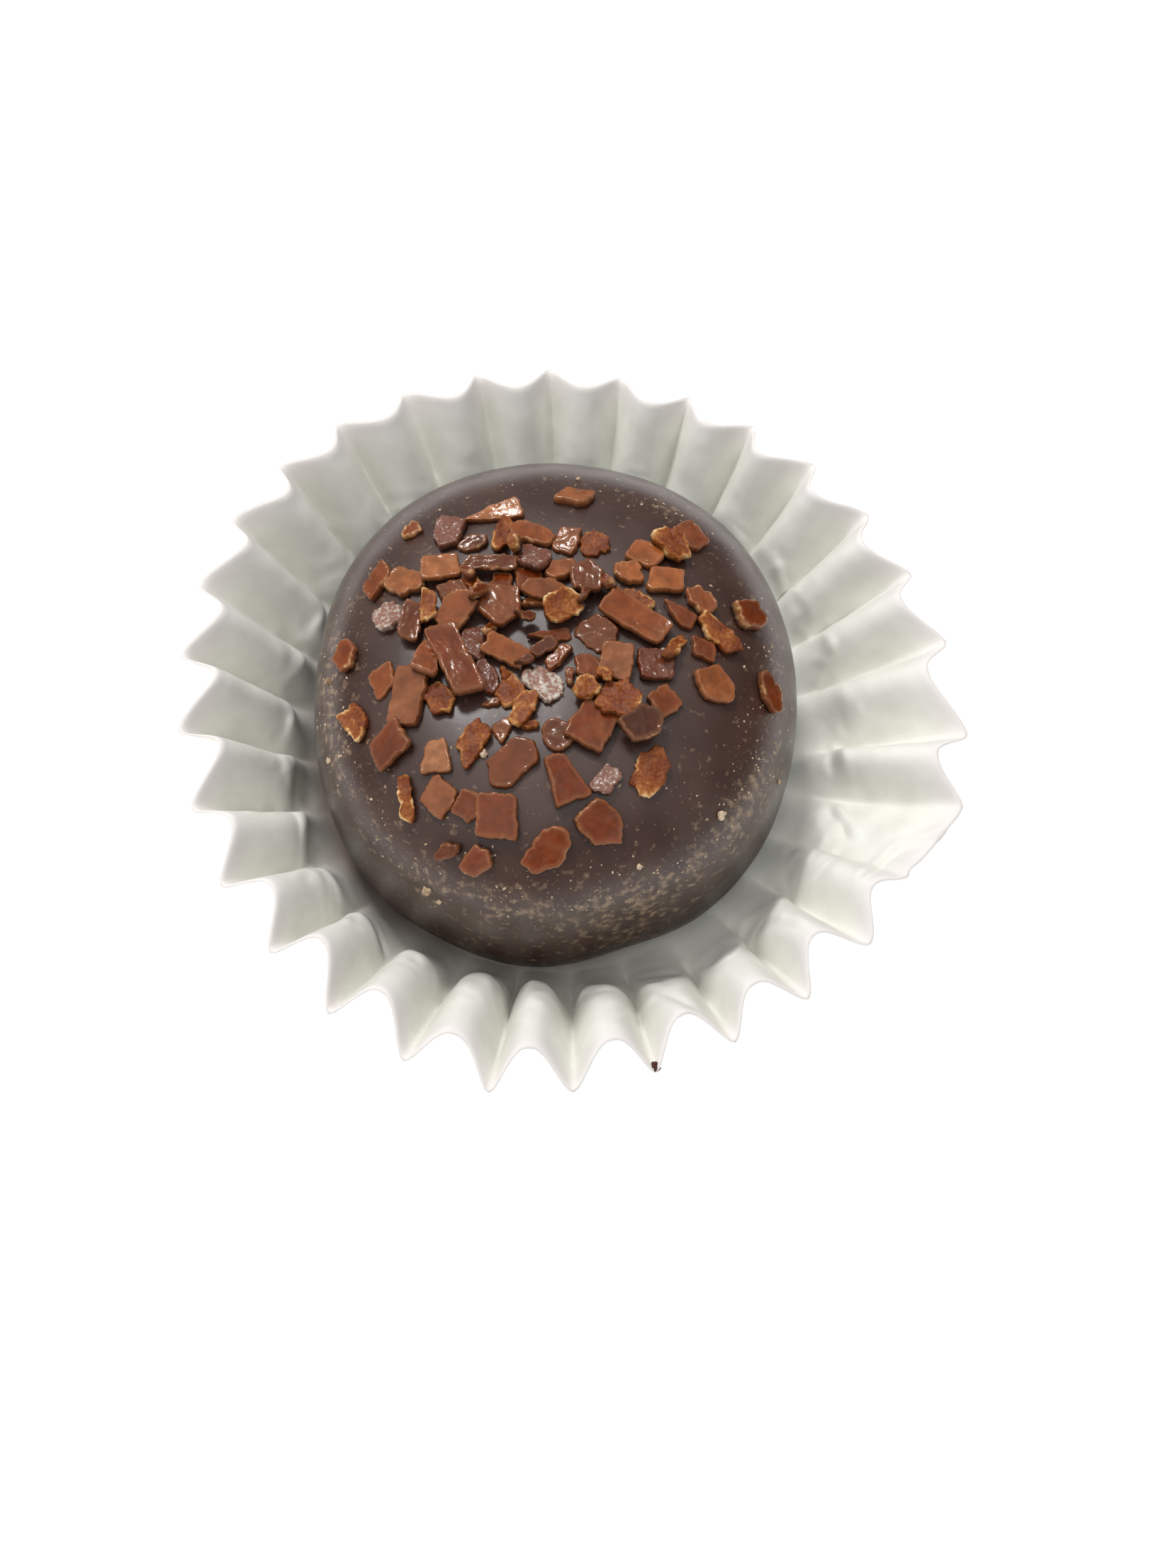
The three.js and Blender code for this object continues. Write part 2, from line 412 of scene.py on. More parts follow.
fine_grain.links.new(tooth.outputs["Normal"], result["Normal"])

darkest_paper = (0.77, 0.765, 0.7, 1)
lightest_paper = (0.87, 0.875, 0.805, 1)
blushed_tip = (0.86, 0.79, 0.79, 1)
gap_shade_brown = (0.13, 0.08, 0.06, 1)
paper, tree, shader = new_finish("greaseproof_paper", 0.75, 0.25)
shade = colour_ramp(tree, fine_noise(tree, 420, 4), (0.3, darkest_paper), (0.7, lightest_paper))
near_tip = stretch(tree, attribute(tree, "climb"), 0.8, 1.0, 0.0, 0.6)
shade = blend_colour(tree, near_tip, shade, blushed_tip)
# Painted shade: the foot of the wall is painted brown where the deep gap beside the truffle lies in
# shade.
shade = blend_colour(tree, attribute(tree, "gap_shade"), shade, gap_shade_brown)
tree.links.new(shade, shader.inputs["Base Color"])
fibre = use_effect(tree, fine_grain, Fineness=2600, Detail=3, Strength=0.25, Depth=0.03 * MM)
tree.links.new(fibre.outputs["Normal"], shader.inputs["Normal"])
case_data.materials.append(paper)
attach(paper_case, "root")
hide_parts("paper_case")


# ---------------------------------------------------------------- truffle
# The truffle is moulded dark chocolate: a squat puck with a rounded shoulder and a
# slightly domed top. Its satin skin is a little wavy, and pale dust from the wafer has
# rubbed into the shoulder.

truffle_centre = Vector((-0.7, -0.7, 0.55)) * MM
truffle_radius = 16.4 * MM
truffle_foot = 15.7 * MM
belly_height = 4.4 * MM
truffle_height = 15.7 * MM
dome_power = 3.3
truffle_columns = 360
belly_rows = 16
dome_rows = 96
dust_middle = Vector((0, -1.9)) * MM
dust_radius = 14.0 * MM
skin_mark_height = 6.1 * MM
skin_mark_width = 0.16 * MM
skin_mark_depth = 0.06 * MM


def truffle_outline(angle):
    """A moulded piece is never quite round: longer front to back, and a little square."""
    return (
        1
        - 0.022 * math.cos(2 * angle)
        + 0.006 * math.cos(3 * angle)
        - 0.012 * math.cos(4 * angle)
        + 0.02 * hump(angle, -96, 14)
        - 0.022 * hump(angle, -72, 12)
    )


def truffle_profile():
    """Half of the truffle's section, from the middle of its foot to the middle of its top."""
    profile = [(0, 0), (truffle_foot * 0.5, 0), (truffle_foot - 1.2 * MM, 0)]
    profile.append((truffle_foot - 0.35 * MM, 0.3 * MM))
    for step in range(1, belly_rows):
        t = step / belly_rows
        bulge = math.sin(t * math.pi / 2)
        profile.append((lerp(truffle_foot, truffle_radius, bulge), belly_height * t))
    for step in range(dome_rows):
        t = step / dome_rows * math.pi / 2
        rise = math.sin(t) ** (2 / dome_power)
        r = truffle_radius * math.cos(t) ** (2 / dome_power)
        profile.append((r, lerp(belly_height, truffle_height, rise)))
    profile.append((0, truffle_height))
    return profile


def dustiness(point):
    """How much wafer dust has rubbed into the skin at a point, from 0 to 1."""
    flat = (point - truffle_centre).xy - dust_middle
    angle = math.atan2(flat.y, flat.x)
    off = flat.length - dust_radius
    band = 0.75 * math.exp(-((off / (0.8 * MM)) ** 2)) + 0.3 * math.exp(-((off / (2.4 * MM)) ** 2))
    sides = 0.9 * hump(angle, 186, 30) + 0.75 * hump(angle, -112, 26) + 0.8 * hump(angle, -70, 26)
    sides += 0.9 * hump(angle, -28, 20) + 0.4 * hump(angle, 8, 20) + 0.5 * hump(angle, 62, 12)
    return min(1, band * (0.12 + sides))


def skin_mark(point, angle):
    """The faint line, low on the front right, where the soft skin slipped in the mould."""
    height = skin_mark_height + 0.35 * MM * math.sin((math.degrees(angle) + 62) / 14)
    across = (point.z - truffle_centre.z - height) / skin_mark_width
    return hump(angle, -62, 11) * (math.exp(-((across - 1) ** 2)) - math.exp(-(across ** 2)))


truffle_mesh = bmesh.new()
previous = None
for r, z in truffle_profile():
    here = truffle_mesh.verts.new((r, 0, z))
    if previous:
        truffle_mesh.edges.new((previous, here))
    previous = here
bmesh.ops.spin(
    truffle_mesh,
    geom=truffle_mesh.verts[:] + truffle_mesh.edges[:],
    cent=(0, 0, 0),
    axis=(0, 0, 1),
    angle=2 * math.pi,
    steps=truffle_columns,
    use_merge=True,
)
bmesh.ops.remove_doubles(truffle_mesh, verts=truffle_mesh.verts, dist=0.001 * MM)
dust_layer = truffle_mesh.verts.layers.float.new("dust")
middle_of_truffle = Vector((0, 0, 6 * MM))
for vert in truffle_mesh.verts:
    angle = math.atan2(vert.co.y, vert.co.x)
    out = (vert.co - middle_of_truffle).normalized()
    wavy = 0.07 * noise.noise(vert.co / (5 * MM)) + 0.02 * noise.noise(vert.co / (1.5 * MM))
    wavy *= min(1, vert.co.z / MM)
    vert.co.xy *= truffle_outline(angle)
    vert.co += truffle_centre + out * wavy * MM
    vert.co += out * skin_mark(vert.co, angle) * skin_mark_depth
    vert[dust_layer] = dustiness(vert.co)
bmesh.ops.recalc_face_normals(truffle_mesh, faces=truffle_mesh.faces)
truffle_data = bpy.data.meshes.new("truffle_body")
truffle_mesh.to_mesh(truffle_data)
chocolate_surface = BVHTree.FromBMesh(truffle_mesh)
truffle_mesh.free()
truffle_data.shade_smooth()
truffle = bpy.data.objects.new("truffle_body", truffle_data)
bpy.context.scene.collection.objects.link(truffle)


def combine(tree, operation, first, second):
    """Add or multiply a value and a number or another value."""
    node = tree.nodes.new("ShaderNodeMath")
    node.operation = operation
    tree.links.new(first, node.inputs[0])
    if isinstance(second, float):
        node.inputs[1].default_value = second
    else:
        tree.links.new(second, node.inputs[1])
    return node.outputs["Value"]


patches, given, result = new_effect(
    "patches",
    (
        ("Fineness", "Float"), ("Detail", "Float"), ("Start", "Float"),
        ("Full", "Float"), ("Least", "Float"), ("Most", "Float"),
    ),
    (("Mask", "Float"),),
)
place = patches.nodes.new("ShaderNodeTexCoord")
cloud = patches.nodes.new("ShaderNodeTexNoise")
spread = patches.nodes.new("ShaderNodeMapRange")
patches.links.new(place.outputs["Object"], cloud.inputs["Vector"])
patches.links.new(given["Fineness"], cloud.inputs["Scale"])
patches.links.new(given["Detail"], cloud.inputs["Detail"])
patches.links.new(cloud.outputs["Fac"], spread.inputs["Value"])
patches.links.new(given["Start"], spread.inputs["From Min"])
patches.links.new(given["Full"], spread.inputs["From Max"])
patches.links.new(given["Least"], spread.inputs["To Min"])
patches.links.new(given["Most"], spread.inputs["To Max"])
patches.links.new(spread.outputs["Result"], result["Mask"])


def patch_mask(tree, fineness, detail, start, full, least=0.0, most=1.0):
    """Soft patches of a stated fineness, as a mask."""
    node = use_effect(
        tree, patches, Fineness=fineness, Detail=detail, Start=start, Full=full, Least=least, Most=most
    )
    return node.outputs["Mask"]


deep_chocolate = (0.036, 0.0125, 0.0075, 1)
bloomed_chocolate = (0.06, 0.0255, 0.017, 1)
shaded_chocolate = (0.02, 0.0055, 0.002, 1)
thin_dust = (0.12, 0.08, 0.05, 1)
thick_dust = (0.3, 0.2, 0.12, 1)
chocolate, tree, shader = new_finish("dark_chocolate", 0.36, 0.12)
shader.inputs["Coat Roughness"].default_value = 0.34
cloudy = fine_noise(tree, 260, 3)
bloom_and_low_shade = colour_ramp(tree, cloudy, (0.35, deep_chocolate), (0.7, bloomed_chocolate))
height = tree.nodes.new("ShaderNodeSeparateXYZ")
tree.links.new(tree.nodes.new("ShaderNodeTexCoord").outputs["Object"], height.inputs["Vector"])
# Painted shade: the chocolate is painted darker towards its foot, where the paper case shades its lower
# side. The same height mask puts the coat on the upper part.
upper = stretch(tree, height.outputs["Z"], 4 * MM, 12 * MM)
bloom_and_low_shade = blend_colour(tree, upper, shaded_chocolate, bloom_and_low_shade)
tree.links.new(stretch(tree, upper, 0.0, 1.0, 0.0, 0.75), shader.inputs["Coat Weight"])
dust = attribute(tree, "dust")
veil = combine(tree, "MULTIPLY", patch_mask(tree, 700, 5, 0.35, 0.75), dust)
veiled = blend_colour(tree, combine(tree, "MULTIPLY", veil, 0.55), bloom_and_low_shade, thin_dust)
patchy = combine(tree, "MULTIPLY", patch_mask(tree, 420, 3, 0.3, 0.7, 0.35), dust)
powder = combine(tree, "ADD", fine_noise(tree, 1900, 6), combine(tree, "MULTIPLY", patchy, 0.2))
dusted = blend_colour(tree, stretch(tree, powder, 0.63, 0.82, 0.0, 0.75), veiled, thick_dust)
tree.links.new(dusted, shader.inputs["Base Color"])
tree.links.new(stretch(tree, cloudy, 0.3, 0.7, 0.32, 0.4), shader.inputs["Roughness"])
skin = use_effect(tree, fine_grain, Fineness=1500, Detail=3, Strength=0.12, Depth=0.05 * MM)
tree.links.new(skin.outputs["Normal"], shader.inputs["Normal"])
tree.links.new(skin.outputs["Normal"], shader.inputs["Coat Normal"])
truffle_data.materials.append(chocolate)
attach(truffle, "root")
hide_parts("truffle")


# ---------------------------------------------------------------- crunch flakes
# Flat chips of baked caramel wafer, one to five millimetres across, are scattered on the
# soft chocolate. They are broken from a sheet well under a millimetre thick, so they have
# smooth faces, straight broken sides and crumbly rims, and they lie in a loose pile.

flake_thickness = 0.6 * MM
flake_step = 0.17 * MM
cell = 0.15 * MM
worn_down_to = 0.94  # of the size it is cut to
steepest = 0.45  # slope
least_sunk = 0.06 * MM
most_sunk = 0.2 * MM
pile_middle = Vector((-1, 1))  # mm
longest_loose = 4.5  # mm

# finish, right, back (mm from the middle of the top), long, wide (mm), turn (degrees),
# outline, tone (0 dark to 1 pale), blush (0 orange to 1 pink), crumb (0 clean to 1 crumbly).
# A chip lies on those before it, and the last twelve are small shards on the pile.
flakes = (
    ("plain", -8.9, 8.4, 1.5, 1.2, 20, "chip", 0.5, 0.1, 0.9),
    ("sugared", -6.6, 7.5, 2.9, 2.2, -112, "house", 0.5, 0.4, 0.4),
    ("plain", -4.9, 6.9, 2.3, 1.2, 12, "oval", 0.15, 0.2, 0.3),
    ("plain", -10.8, 4.6, 2.9, 1.3, 60, "lean", 0.5, 0.3, 0.4),
    ("plain", -9.1, 4.1, 2.6, 2.0, -35, "house", 0.75, 0.35, 0.6),
    ("plain", -7.0, 4.9, 2.7, 1.8, 8, "slab", 0.8, 0.4, 0.15),
    ("plain", -6.1, 3.1, 1.9, 1.5, 25, "slab", 0.4, 0.95, 0.2),
    ("plain", -3.1, 3.7, 1.5, 1.3, 84, "slab", 0.35, 0.0, 0.2),
    ("plain", -1.5, 4.0, 2.1, 2.0, 10, "lean", 0.45, 0.3, 0.1),
    ("sugared", -1.2, 5.4, 2.4, 1.7, -22, "slab", 0.45, 0.5, 0.45),
    ("plain", -4.7, 3.6, 2.0, 1.4, -60, "wedge", 0.5, 0.0, 0.7),
    ("plain", -5.9, 1.7, 3.1, 2.2, 48, "chip", 0.6, 0.1, 0.35),
    ("sugared", -10.0, 1.9, 2.3, 2.0, 60, "oval", 0.8, 0.6, 0.8),
    ("plain", -8.7, 1.2, 2.9, 1.3, 82, "slab", 0.3, 0.45, 0.25),
    ("golden", -7.6, 1.9, 2.5, 1.1, 88, "stick", 0.6, 0.1, 0.9),
    ("plain", -10.3, -2.5, 2.9, 2.2, 82, "kite", 0.6, 0.0, 0.35),
    ("plain", -12.7, -0.2, 2.5, 1.4, 88, "oval", 0.5, 0.15, 0.4),
    ("plain", -8.6, -3.7, 4.2, 2.2, 80, "slab", 0.6, 0.9, 0.15),
    ("plain", -7.5, -1.6, 2.3, 1.9, 75, "trapeze", 0.55, 0.0, 0.5),
    ("golden", -6.7, -4.0, 2.4, 1.8, -62, "chip", 0.35, 0.0, 0.8),
    ("golden", -11.9, -4.8, 2.8, 2.0, 100, "kite", 0.45, 0.0, 0.9),
    ("plain", -9.7, -6.8, 3.2, 2.0, 42, "lean", 0.35, 0.1, 0.2),
    ("plain", -6.8, -7.6, 2.4, 2.0, 88, "trapeze", 0.85, 0.95, 0.2),
    ("golden", -4.6, -6.8, 3.2, 1.6, 55, "lean", 0.45, 0.0, 0.6),
    ("plain", -2.8, -6.0, 1.6, 1.2, 50, "trapeze", 0.55, 0.9, 0.1),
    ("golden", -1.2, -5.8, 1.3, 0.7, -5, "stick", 0.4, 0.2, 0.4),
    ("plain", -2.3, -8.0, 3.9, 2.4, 36, "chip", 0.4, 0.7, 0.15),
    ("plain", 0.5, -6.4, 2.6, 2.2, -60, "oval", 0.25, 0.35, 0.15),
    ("golden", -8.7, -10.0, 3.0, 1.0, -82, "stick", 0.5, 0.1, 0.8),
    ("plain", -6.7, -9.9, 2.5, 2.1, 62, "lean", 0.6, 0.6, 0.25),
    ("plain", -4.7, -10.6, 2.2, 1.9, -30, "house", 0.4, 0.2, 0.3),
    ("plain", -3.2, -11.4, 2.8, 2.5, 88, "slab", 0.45, 0.15, 0.3),
    ("plain", -6.0, -12.9, 1.8, 1.0, 10, "oval", 0.25, 0.5, 0.3),
    ("plain", -4.3, -13.6, 2.0, 1.8, 0, "oval", 0.4, 0.0, 0.35),
    ("plain", -0.3, -13.1, 3.5, 2.4, 30, "moon", 0.45, 0.0, 0.35),
    ("plain", 0.7, -9.2, 3.2, 2.3, 112, "trapeze", 0.4, 0.0, 0.2),
    ("plain", 2.4, -6.1, 2.9, 2.4, 62, "slab", 0.45, 0.25, 0.25),
    ("golden", 4.0, -4.4, 2.9, 2.4, -10, "chip", 0.45, 0.4, 0.9),
    ("plain", 6.8, -4.2, 1.9, 1.6, -50, "slab", 0.5, 0.15, 0.3),
    ("plain", 5.5, -6.2, 2.9, 2.2, 30, "house", 0.1, 0.3, 0.25),
    ("sugared", 3.2, -9.2, 2.9, 1.8, 28, "kite", 0.6, 0.5, 0.7),
    ("golden", 5.9, -8.5, 3.1, 2.3, 65, "chip", 0.4, 0.2, 0.9),
    ("plain", 3.0, -11.6, 3.1, 2.7, -42, "house", 0.4, 0.0, 0.25),
    ("plain", 1.4, 10.3, 2.5, 1.4, -15, "lean", 0.7, 0.6, 0.2),
    ("plain", 5.8, 6.0, 2.6, 2.0, -15, "lean", 0.7, 0.0, 0.2),
    ("plain", 8.7, 7.9, 2.3, 1.5, -48, "slab", 0.5, 0.4, 0.4),
    ("golden", 7.4, 6.7, 2.7, 1.9, -38, "chip", 0.55, 0.2, 0.9),
    ("plain", 4.7, 4.6, 2.3, 1.9, -25, "kite", 0.8, 0.05, 0.45),
    ("plain", 7.0, 4.1, 2.4, 1.8, -4, "slab", 0.75, 0.05, 0.25),
    ("plain", 2.9, 0.4, 3.0, 2.4, -50, "chip", 0.35, 0.9, 0.1),
    ("plain", 7.7, 1.8, 2.7, 1.7, -38, "shard", 0.5, 0.5, 0.2),
    ("plain", 9.2, 2.8, 2.2, 1.6, -40, "chip", 0.55, 0.15, 0.7),
    ("golden", 10.2, 0.6, 3.4, 1.3, -42, "stick", 0.55, 0.1, 0.9),
    ("plain", 9.2, -0.5, 2.3, 1.9, -50, "kite", 0.4, 0.5, 0.3),
    ("plain", 9.9, -2.9, 2.7, 2.2, -60, "house", 0.65, 0.55, 0.15),
    ("plain", 12.1, 2.4, 2.1, 1.6, -70, "slab", 0.35, 0.1, 0.45),
    ("plain", 13.3, -2.5, 2.7, 1.4, -75, "oval", 0.35, 0.4, 0.45),
    ("golden", 2.6, 6.7, 1.9, 1.8, 30, "chip", 0.3, 0.3, 0.9),
    ("plain", 0.6, 4.6, 2.2, 1.4, 20, "oval", 0.6, 0.3, 0.25),
    ("sugared", -4.7, -0.3, 2.5, 2.0, 60, "chip", 0.45, 0.8, 0.45),
    ("golden", -2.5, -3.6, 2.4, 1.5, 50, "lean", 0.5, 0.1, 0.6),
    ("sugared", -4.0, -2.7, 2.6, 1.6, -72, "oval", 0.3, 0.7, 0.4),
    ("golden", 2.1, -3.8, 1.9, 1.4, 30, "chip", 0.55, 0.2, 0.9),
    ("plain", 2.2, -2.1, 2.3, 1.7, -70, "oval", 0.45, 0.55, 0.35),
    ("sugared", 6.3, -1.8, 2.3, 2.0, 5, "slab", 0.35, 0.6, 0.35),
    ("golden", 7.3, -1.0, 2.3, 0.9, 62, "stick", 0.55, 0.4, 0.6),
    ("plain", -0.3, 0.1, 3.0, 1.2, 6, "shard", 0.45, 0.4, 0.5),
    ("sugared", -0.5, -3.1, 2.8, 2.1, -45, "chip", 0.9, 0.6, 1.0),
    ("plain", -1.2, 2.3, 1.5, 0.7, -4, "wedge", 0.8, 0.3, 0.3),
    ("plain", -3.8, 9.1, 3.8, 2.0, 12, "shard", 0.8, 0.4, 0.3),
    ("plain", -3.9, 5.0, 3.4, 1.0, 0, "slab", 0.25, 0.1, 0.9),
    ("plain", -1.3, 7.4, 3.2, 1.7, -18, "chip", 0.6, 0.1, 0.35),
    ("golden", -3.2, 7.3, 3.2, 1.1, 76, "stick", 0.4, 0.0, 0.7),
    ("plain", 0.9, 6.9, 2.0, 1.6, 75, "slab", 0.6, 0.9, 0.25),
    ("plain", 2.2, 4.0, 2.3, 2.2, 88, "house", 0.3, 0.5, 0.2),
    ("plain", 0.5, -1.4, 2.4, 1.1, 40, "wedge", 0.45, 0.5, 0.35),
    ("plain", -0.4, -0.7, 2.0, 0.8, 32, "slab", 0.2, 0.3, 0.2),
    ("plain", 4.0, -1.8, 2.4, 2.0, 85, "slab", 0.7, 0.75, 0.2),
    ("golden", 5.3, 2.6, 2.6, 1.0, -28, "stick", 0.55, 0.1, 0.8),
    ("golden", -1.7, -4.8, 2.7, 1.4, 66, "stick", 0.55, 0.2, 0.6),
    ("plain", -5.9, -2.0, 5.1, 2.0, -65, "slab", 0.4, 0.05, 0.2),
    ("plain", -0.4, 3.1, 3.3, 1.4, -3, "chip", 0.6, 0.5, 0.4),
    ("golden", 0.6, 1.9, 2.8, 2.0, 25, "chip", 0.65, 0.1, 1.0),
    ("plain", -2.8, -1.0, 2.9, 1.5, -24, "slab", 0.7, 0.0, 0.5),
    ("plain", -3.2, 1.8, 3.0, 2.6, -92, "house", 0.5, 0.8, 0.1),
    ("plain", 5.2, 1.1, 4.9, 2.1, -31, "slab", 0.55, 0.0, 0.1),
    ("plain", -1.8, 1.1, 1.5, 0.8, -15, "shard", 0.25, 0.3, 0.4),
    ("plain", -3.9, 0.2, 1.3, 0.8, 50, "wedge", 0.3, 0.2, 0.6),
    ("golden", -2.9, -2.5, 1.2, 0.6, -70, "stick", 0.4, 0.1, 0.8),
    ("plain", -1.7, -1.9, 1.4, 0.7, 20, "shard", 0.2, 0.4, 0.3),
    ("plain", 1.1, -2.7, 1.2, 0.8, 75, "wedge", 0.35, 0.3, 0.5),
    ("plain", -4.6, 2.3, 1.4, 0.8, 35, "chip", 0.3, 0.2, 0.7),
    ("golden", -2.1, 5.9, 1.3, 0.6, 80, "stick", 0.45, 0.1, 0.9),
    ("plain", -5.1, 4.1, 1.2, 0.8, -40, "shard", 0.35, 0.1, 0.6),
    ("plain", 1.9, 2.2, 1.3, 0.6, 55, "wedge", 0.25, 0.4, 0.4),
    ("plain", -3.6, -4.4, 1.3, 0.7, 10, "shard", 0.3, 0.2, 0.6),
    ("plain", 3.7, 3.1, 1.1, 0.7, -60, "chip", 0.4, 0.2, 0.6),
    ("golden", 3.2, -3.0, 1.3, 0.6, -30, "stick", 0.5, 0.1, 0.9),
)
outlines = {
    "slab": ((-0.5, -0.49), (0.48, -0.5), (0.5, 0.46), (-0.46, 0.5)),
    "lean": ((-0.5, -0.42), (0.3, -0.5), (0.5, 0.44), (-0.28, 0.5)),
    "trapeze": ((-0.5, -0.5), (0.5, -0.26), (0.46, 0.32), (-0.44, 0.5)),
    "kite": ((-0.5, 0.02), (-0.06, -0.5), (0.5, -0.14), (0.16, 0.5)),
    "wedge": ((-0.5, -0.5), (0.5, -0.2), (0.3, 0.5), (-0.45, 0.2)),
    "shard": ((-0.5, 0.0), (0.15, -0.34), (0.5, -0.3), (0.42, 0.5), (0.0, 0.3)),
    "house": ((-0.5, -0.44), (0.14, -0.5), (0.5, 0.04), (0.18, 0.5), (-0.45, 0.42)),
    "chip": ((-0.5, -0.2), (-0.28, -0.5), (0.36, -0.44), (0.5, 0.1), (0.2, 0.5), (-0.36, 0.36)),
    "oval": ((-0.5, 0.0), (-0.36, -0.38), (0.1, -0.5), (0.45, -0.22), (0.42, 0.3), (-0.1, 0.5)),
    "stick": ((-0.5, -0.2), (-0.2, -0.5), (0.42, -0.4), (0.5, 0.3), (0.1, 0.5), (-0.44, 0.36)),
    "moon": ((-0.5, 0.1), (0.15, 0.5), (0.5, 0.25), (0.48, -0.22), (0.1, -0.5), (-0.35, -0.32)),
}
face_relief = {"plain": 0.038 * MM, "sugared": 0.07 * MM, "golden": 0.1 * MM}

# The rings of a chip's side and rim: the step inward in mm, the rise as a share of its
# thickness, and how much of the ring is broken rim. Then the shares of its flat face.
rim_rings = ((-0.05, 0.35, 0.9), (0.0, 0.3, 1.0), (0.04, 0.25, 1.0), (0.08, 0.1, 0.8), (0.1, -0.04, 0.3))
face_rings = (0.85, 0.7, 0.55, 0.4, 0.25)
pile = {}


def ground(x, y):
    """The top of what lies at a point: a chip, or the chocolate."""
    key = (round(x / cell), round(y / cell))
    if key not in pile:
        pile[key] = chocolate_surface.ray_cast(Vector((x, y, 30 * MM)), Vector((0, 0, -1)))[0].z
    return pile[key]


def inside(x, y, ring):
    """Whether a point lies within a closed ring of corners."""
    crossings = 0
    for start, end in zip(ring, ring[1:] + ring[:1]):
        if (start.y > y) != (end.y > y):
            crossings += x < start.x + (y - start.y) / (end.y - start.y) * (end.x - start.x)
    return crossings % 2 == 1


def settle(x, y, ring, thickness, sink):
    """Lay a flat outline on what is under it: how high it comes to rest and how it leans."""
    steps = math.ceil(max(corner.length for corner in ring) / cell)
    span = range(-steps, steps + 1)
    cells = [(i * cell, j * cell) for i in span for j in span if inside(i * cell, j * cell, ring)]
    heights = [ground(x + right, y + back) for right, back in cells]
    middle = sum(heights) / len(heights)
    lean_x = sum(right * (h - middle) for (right, back), h in zip(cells, heights))
    lean_y = sum(back * (h - middle) for (right, back), h in zip(cells, heights))
    lean_x = max(-steepest, min(steepest, lean_x / sum(right * right for right, back in cells)))
    lean_y = max(-steepest, min(steepest, lean_y / sum(back * back for right, back in cells)))
    flat = [lean_x * right + lean_y * back for right, back in cells]
    rest = max(h - level for h, level in zip(heights, flat)) - sink
    for (right, back), level in zip(cells, flat):
        pile[round((x + right) / cell), round((y + back) / cell)] = rest + level + thickness
    return rest, lean_x, lean_y


def along_outline(corners, share):
    """The point at a share of the way round a closed outline."""
    sides = list(zip(corners, corners[1:] + corners[:1]))
    left = share * sum((end - start).length for start, end in sides)
    for start, end in sides:
        length = (end - start).length
        if left <= length:
            return start.lerp(end, left / length)
        left -= length
    return corners[0]


def chip_corners(rng, outline, long, wide, swing):
    """The corners of a chip, each broken a little unevenly, turned the way the chip lies."""
    corners = []
    for along, across in outlines[outline]:
        along = (along + rng.uniform(-0.06, 0.06)) * long * worn_down_to * MM
        across = (across + rng.uniform(-0.06, 0.06)) * wide * worn_down_to * MM
        corners.append(Vector((
            along * math.cos(swing) - across * math.sin(swing),
            along * math.sin(swing) + across * math.cos(swing),
            0,
        )))
    return corners


def break_outline(mesh, corners, seed, crumb):
    """A chip's flat outline: its corners are worn round, and it is ragged all the way."""
    around = sum((end - start).length for start, end in zip(corners, corners[1:] + corners[:1]))
    count = round(around / flake_step)
    ring = bmesh.ops.create_circle(mesh, segments=count, radius=1, cap_ends=True)["verts"]
    for index, vert in enumerate(ring):
        vert.co = along_outline(corners, index / count)
    for again in range(2):
        bmesh.ops.smooth_vert(mesh, verts=ring, factor=0.5, use_axis_x=True, use_axis_y=True)
    for vert in ring:
        rough = noise.noise(vert.co / (0.6 * MM) + seed) * (0.1 + 0.1 * crumb)
        rough += noise.noise(vert.co / (0.25 * MM) + seed) * (0.06 + 0.07 * crumb)
        vert.co += vert.co.normalized() * rough * MM
    return ring


def raise_chip(mesh, ring, thick, seed, crumb):
    """Raise a chip from its outline: side, round rim, flat face. It gives back its points,
    each with how much of it is rim."""
    edge = {vert: 0.6 for vert in ring}
    grown = bmesh.ops.extrude_face_region(mesh, geom=[ring[0].link_faces[0]])["geom"]
    face = next(part for part in grown if isinstance(part, bmesh.types.BMFace))
    for index, (step, rise, rim) in enumerate(rim_rings):
        if index:
            face = bmesh.ops.extrude_discrete_faces(mesh, faces=[face])["faces"][0]
        for vert in face.verts:
            flat = Vector((vert.co.x, vert.co.y, 0))
            uneven = noise.noise(vert.co / (0.3 * MM) + seed) * rim * (0.03 + 0.07 * crumb)
            vert.co += flat.normalized() * (uneven * MM - min(step * MM, flat.length * 0.6))
            vert.co.z += rise * thick
            edge[vert] = rim
    shrunk = 1
    for share in face_rings:
        face = bmesh.ops.extrude_discrete_faces(mesh, faces=[face])["faces"][0]
        for vert in face.verts:
            vert.co.xy *= share / shrunk
            edge[vert] = 0
        shrunk = share
    for vert in bmesh.ops.poke(mesh, faces=[face])["verts"]:
        edge[vert] = 0
    return edge


